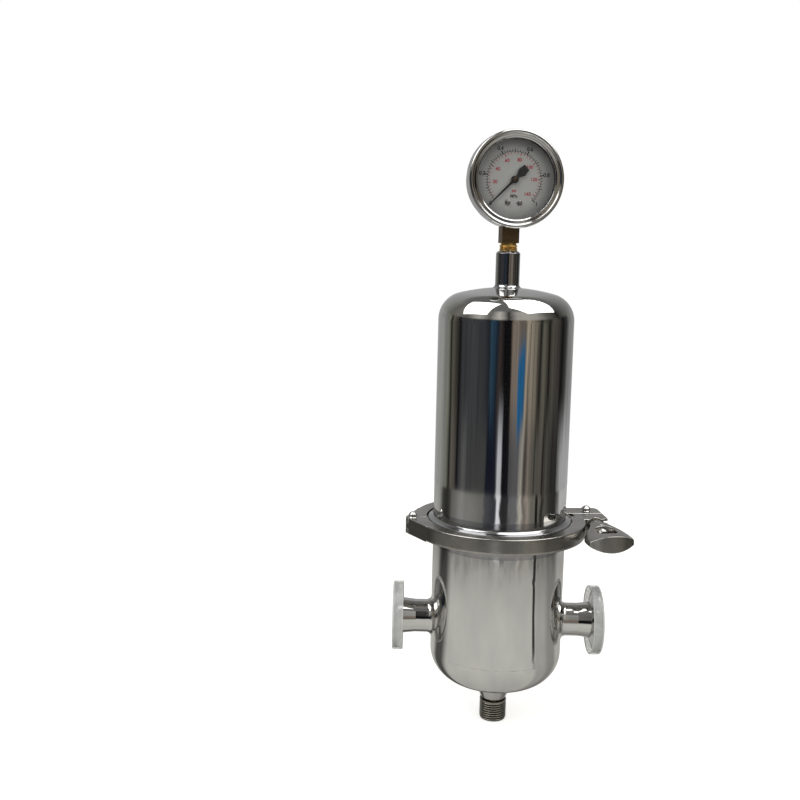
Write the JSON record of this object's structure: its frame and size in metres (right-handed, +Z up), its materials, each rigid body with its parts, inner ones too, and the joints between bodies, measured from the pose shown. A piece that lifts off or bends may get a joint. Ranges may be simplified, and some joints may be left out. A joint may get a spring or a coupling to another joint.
{
  "type": "sanitary air filter",
  "caption": "Domed stainless shell clamped on a base with two capped side ports and a threaded drain, with a pleated cartridge inside and a round pressure gauge on top.",
  "frame": {"origin": "centre of the drain thread's lower end", "axes": "+Z up along the shell, X along the ports with the inlet at -X"},
  "size_m": [0.1762, 0.132, 0.453],
  "materials": {
    "mirror_steel": "stainless, mirror polished",
    "satin_steel": "stainless casting, tumbled satin",
    "turned_steel": "stainless, turned",
    "dark_steel": "stainless, polished, dark reflections",
    "gauge_chrome": "polished plated case",
    "brass": "turned brass",
    "dial_paint": "pale grey matt dial",
    "pointer_paint": "matt black",
    "window_glass": "clear flat window",
    "cap_plastic": "translucent white polythene",
    "filter_plastic": "white polypropylene",
    "filter_media": "pleated membrane",
    "white_rubber": "white silicone",
    "black_rubber": "black elastomer"
  },
  "bodies": {
    "housing": {"base_barrel": "mirror_steel", "base_dish": "mirror_steel", "drain_nipple": "turned_steel", "base_ferrule": "turned_steel", "inlet_nozzle": "mirror_steel", "outlet_nozzle": "mirror_steel", "outlet_elbow": "turned_steel", "cartridge_seat": "turned_steel", "upper_shell": "mirror_steel", "upper_dome": "mirror_steel", "upper_ferrule": "turned_steel", "gauge_socket": "dark_steel", "body_gasket": "white_rubber", "clamp_back_half": "satin_steel", "clamp_hinge_pin": "turned_steel", "swing_bolt_pin": "turned_steel", "gauge_stem": "brass", "gauge_case": "gauge_chrome", "gauge_bezel": "gauge_chrome", "gauge_window": "window_glass", "window_gasket": "black_rubber", "gauge_dial": "dial_paint", "dial_screws": "turned_steel", "bourdon_tube": "brass", "tube_tip": "brass", "movement_plates": "brass", "movement_pillars": "brass"},
    "clamp_front": {"clamp_front_half": "satin_steel"},
    "bolt": {"swing_bolt": "turned_steel"},
    "washer": {"nut_washer": "satin_steel"},
    "nut": {"wing_nut": "satin_steel"},
    "inlet_cover": {"inlet_cap": "cap_plastic"},
    "outlet_cover": {"outlet_cap": "cap_plastic"},
    "cartridge": {"cartridge_spigot": "filter_plastic", "cartridge_o_rings": "black_rubber", "cartridge_bottom_cap": "filter_plastic", "cartridge_core": "filter_plastic", "cartridge_media": "filter_media", "cartridge_cage": "filter_plastic", "cartridge_top_cap": "filter_plastic"},
    "pointer": {"gauge_pointer": "pointer_paint", "pinion_arbor": "brass", "hairspring": "brass"},
    "sector": {"sector_gear": "brass"},
    "link": {"tip_link": "brass"}
  },
  "joints": [
    {"name": "wing_nut_turn", "type": "hinge", "parent": "washer", "child": "nut", "pos_m": [0.07385, -0.00139, 0.15701], "axis": [0.1045, -0.9945, 0], "range_deg": [0, 2160]},
    {"name": "washer_travel", "type": "slide", "parent": "bolt", "child": "washer", "axis": [0.1045, -0.9945, 0], "range_m": [0, 0.0076]},
    {"name": "bolt_swing", "type": "hinge", "parent": "housing", "child": "bolt", "pos_m": [0.07107, 0.02507, 0.15701], "axis": [0, 0, 1], "range_deg": [0, 95]},
    {"name": "clamp_open", "type": "hinge", "parent": "housing", "child": "clamp_front", "pos_m": [-0.06663, -0.007, 0.15701], "axis": [0, 0, -1], "range_deg": [0, 3]},
    {"name": "inlet_cap_pull", "type": "slide", "parent": "housing", "child": "inlet_cover", "axis": [-1, 0, 0], "range_m": [0, 0.012]},
    {"name": "outlet_cap_pull", "type": "slide", "parent": "housing", "child": "outlet_cover", "axis": [1, 0, 0], "range_m": [0, 0.012]},
    {"name": "cartridge_lift", "type": "slide", "parent": "housing", "child": "cartridge", "axis": [0, 0, 1], "range_m": [0, 0.026]},
    {"name": "pointer_turn", "type": "hinge", "parent": "housing", "child": "pointer", "pos_m": [0, 0, 0.41772], "axis": [-0.1736, 0.9848, 0], "range_deg": [0, 270], "stiffness_Nm_per_rad": 0.00002, "springref_deg": -57.3},
    {"name": "sector_turn", "type": "hinge", "parent": "housing", "child": "sector", "pos_m": [0.0094, 0.00166, 0.40817], "axis": [-0.1736, 0.9848, 0], "range_deg": [-34, 0]},
    {"name": "link_turn", "type": "hinge", "parent": "housing", "child": "link", "pos_m": [0.01917, 0.00338, 0.40943], "axis": [-0.1736, 0.9848, 0], "range_deg": [0, 10]}
  ],
  "couplings": [
    {"joint": "washer_travel", "follows": "wing_nut_turn", "m_per_rad": 0.00019894},
    {"joint": "clamp_open", "follows": "wing_nut_turn", "ratio": 0.0013426},
    {"joint": "sector_turn", "follows": "pointer_turn", "ratio": -0.125},
    {"joint": "link_turn", "follows": "pointer_turn", "ratio": 0.0356}
  ]
}
